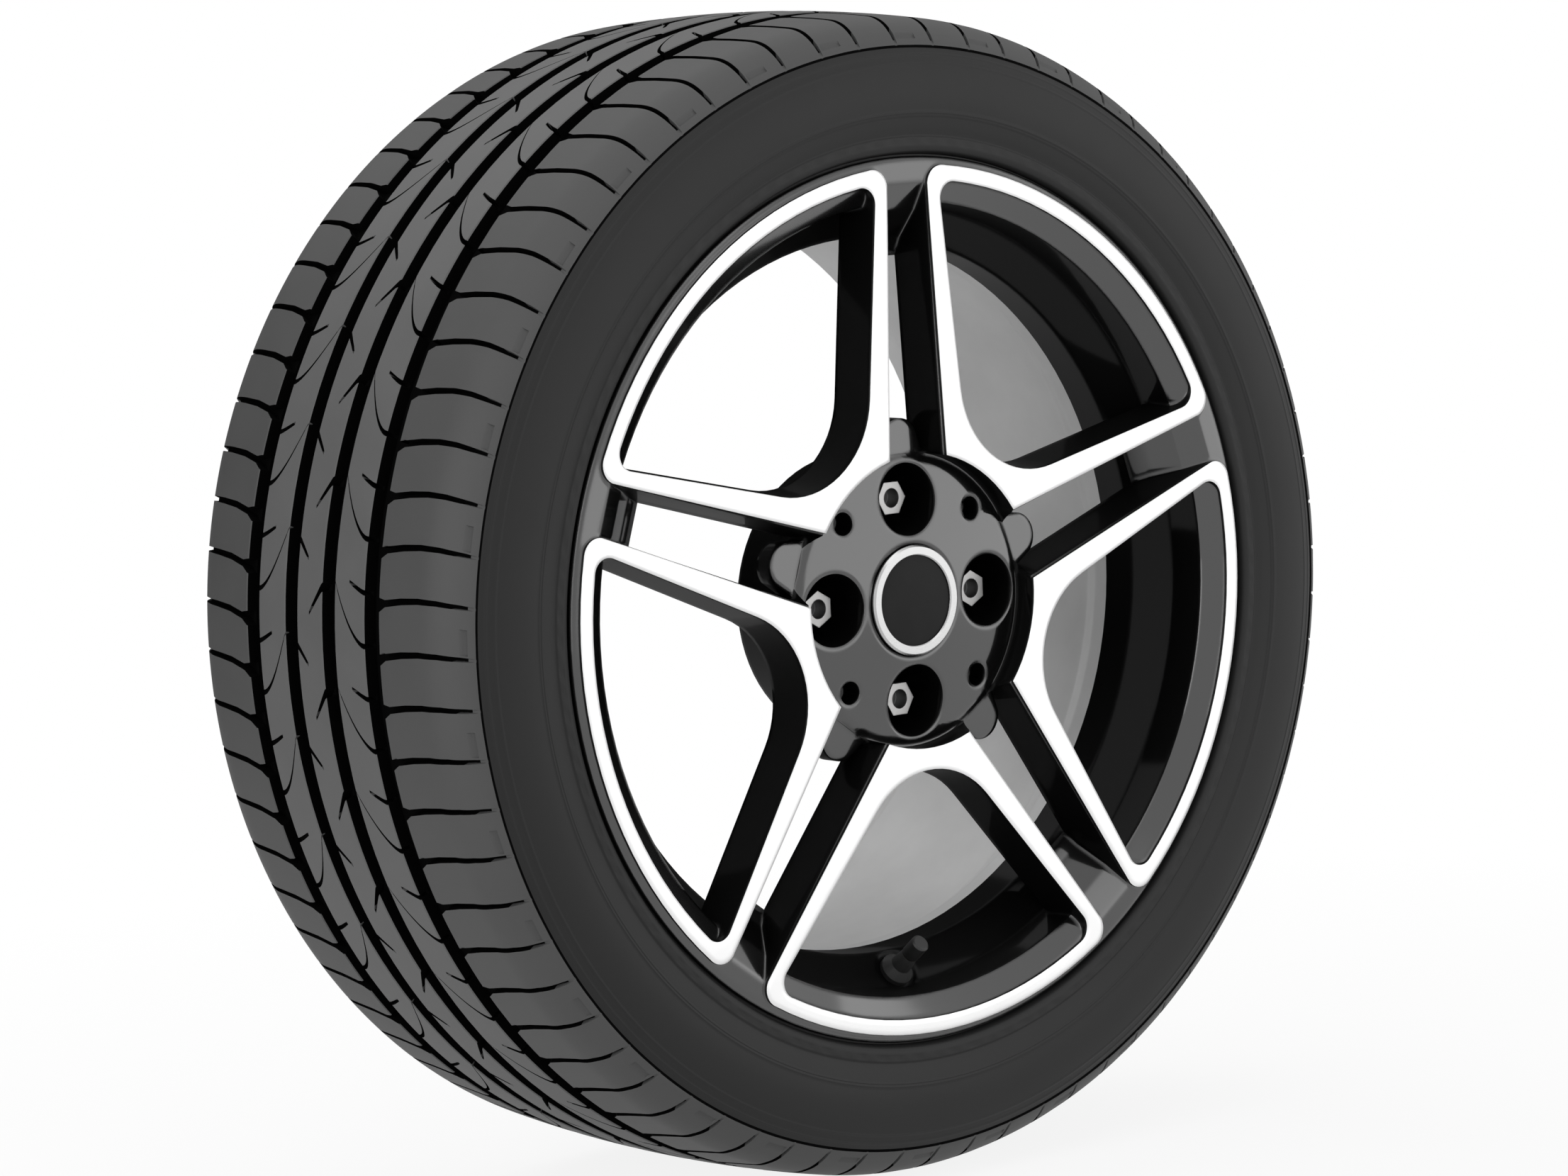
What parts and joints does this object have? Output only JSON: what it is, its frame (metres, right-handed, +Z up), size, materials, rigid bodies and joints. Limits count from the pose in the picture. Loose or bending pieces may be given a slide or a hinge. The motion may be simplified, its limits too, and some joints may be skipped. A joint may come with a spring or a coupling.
{
  "type": "alloy wheel",
  "caption": "Car alloy wheel with machined window loops and twin spokes, a mounted grooved tyre, wheel bolts, centre cap and valve.",
  "frame": {"origin": "centre of the wheel: on the spin axis, halfway between the two flanges", "axes": "+Y along the spin axis towards the car, -Y out of the styled face, +Z up through one spoke channel"},
  "size_m": [0.6278, 0.245, 0.6278],
  "materials": {
    "alloy": "gloss black paint with diamond-turned loops on the outer face",
    "tyre_rubber": "moulded rubber",
    "bolt_steel": "zinc-plated steel",
    "cap_plastic": "moulded plastic",
    "cap_bright": "bright turned ring",
    "cap_dark": "dark satin disc",
    "spring_steel": "spring wire",
    "valve_rubber": "moulded rubber",
    "valve_brass": "turned brass"
  },
  "bodies": {
    "wheel": {"alloy_wheel": "alloy", "tyre": "tyre_rubber", "wheel_bolts": "bolt_steel", "cap_body": "cap_plastic", "cap_ring": "cap_bright", "cap_disc": "cap_dark", "cap_spring": "spring_steel", "valve_body": "valve_rubber", "valve_stem": "valve_brass", "valve_core": "valve_brass", "valve_spring": "spring_steel"},
    "dust_cap_carrier": {"valve_cap_seal": "valve_rubber"},
    "dust_cap": {"valve_cap": "cap_plastic"},
    "core_pin": {"valve_pin": "valve_brass", "valve_seal": "valve_rubber"}
  },
  "joints": [
    {"name": "dust_cap_lift", "type": "slide", "parent": "wheel", "child": "dust_cap_carrier", "axis": [0, -0.7804, 0.6252], "range_m": [0, 0.0085]},
    {"name": "dust_cap_turn", "type": "hinge", "parent": "dust_cap_carrier", "child": "dust_cap", "pos_m": [0, -0.08188, -0.20447], "axis": [0, -0.7804, 0.6252], "range_deg": [0, 3854]},
    {"name": "core_pin_press", "type": "slide", "parent": "wheel", "child": "core_pin", "axis": [0, 0.7804, -0.6252], "range_m": [0, 0.0015], "stiffness_N_per_m": 400, "springref_m": -0.002, "deforming": ["valve_spring"]}
  ],
  "couplings": [
    {"joint": "dust_cap_turn", "follows": "dust_cap_lift", "rad_per_m": 7913.3}
  ]
}
